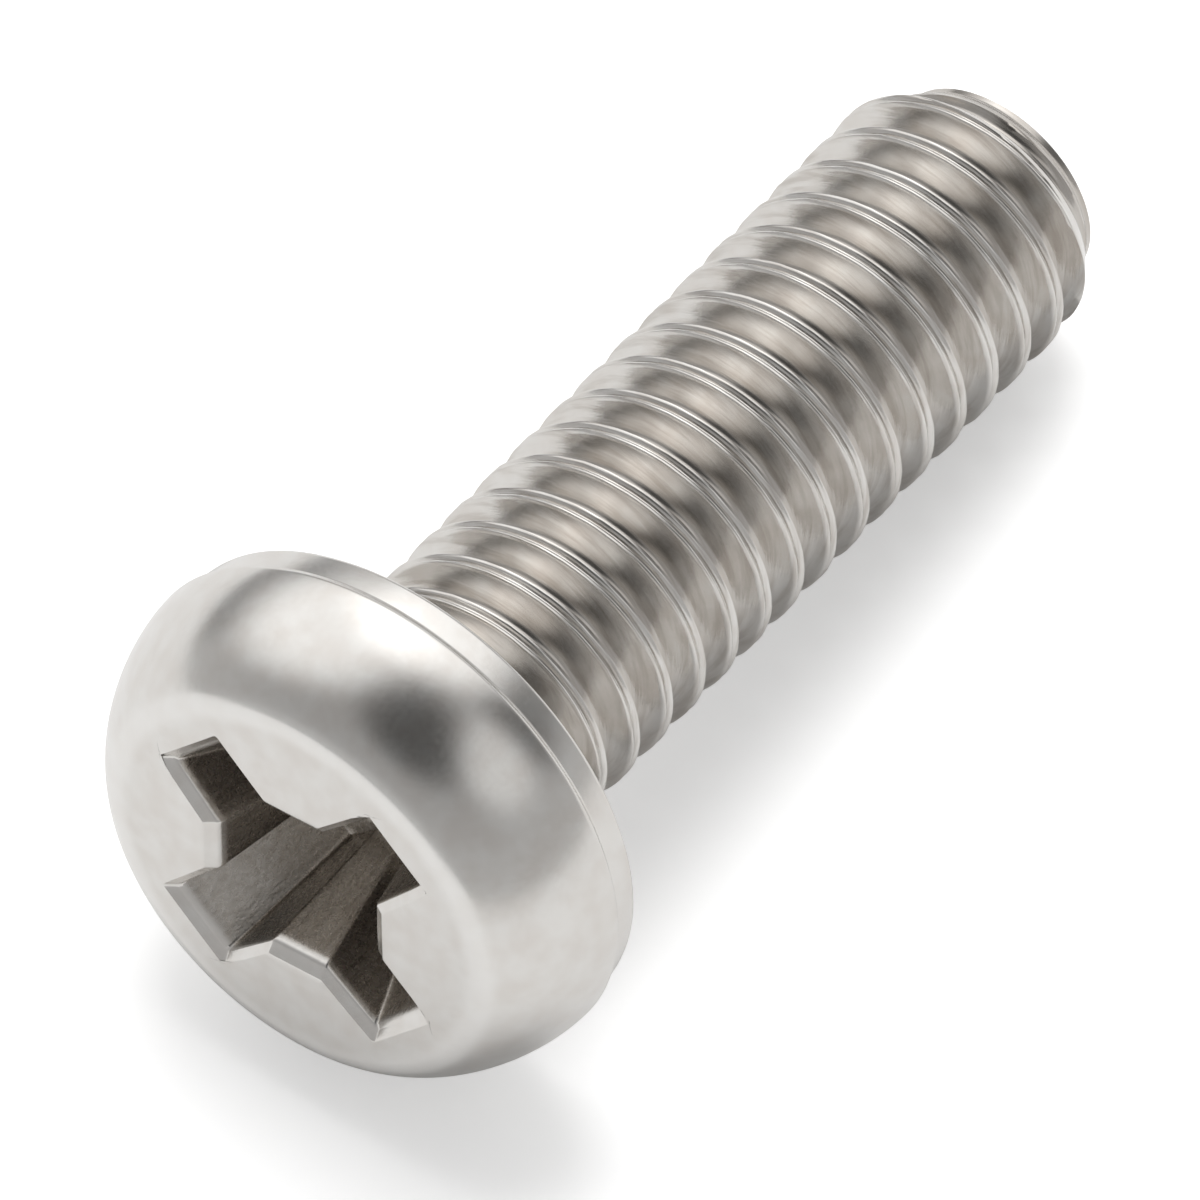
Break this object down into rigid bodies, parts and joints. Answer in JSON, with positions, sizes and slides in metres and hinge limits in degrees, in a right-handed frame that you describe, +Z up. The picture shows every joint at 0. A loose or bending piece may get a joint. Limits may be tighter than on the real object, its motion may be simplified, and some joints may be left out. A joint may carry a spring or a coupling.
{
  "type": "machine screw",
  "caption": "Pan head machine screw with a cross recess, fully threaded shank and chamfered end, lying on its side.",
  "frame": {"origin": "on the surface that the screw lies on, at the middle of its bounding box", "axes": "+Z up; +X from the head towards the tip, level; the screw's own axis lies in the XZ plane and dips 7.9 degrees below +X"},
  "size_m": [0.0154, 0.0072, 0.0072],
  "materials": {
    "stainless": "bright tumbled stainless steel, satin"
  },
  "bodies": {
    "root": {"machine_screw": "stainless"}
  },
  "joints": []
}
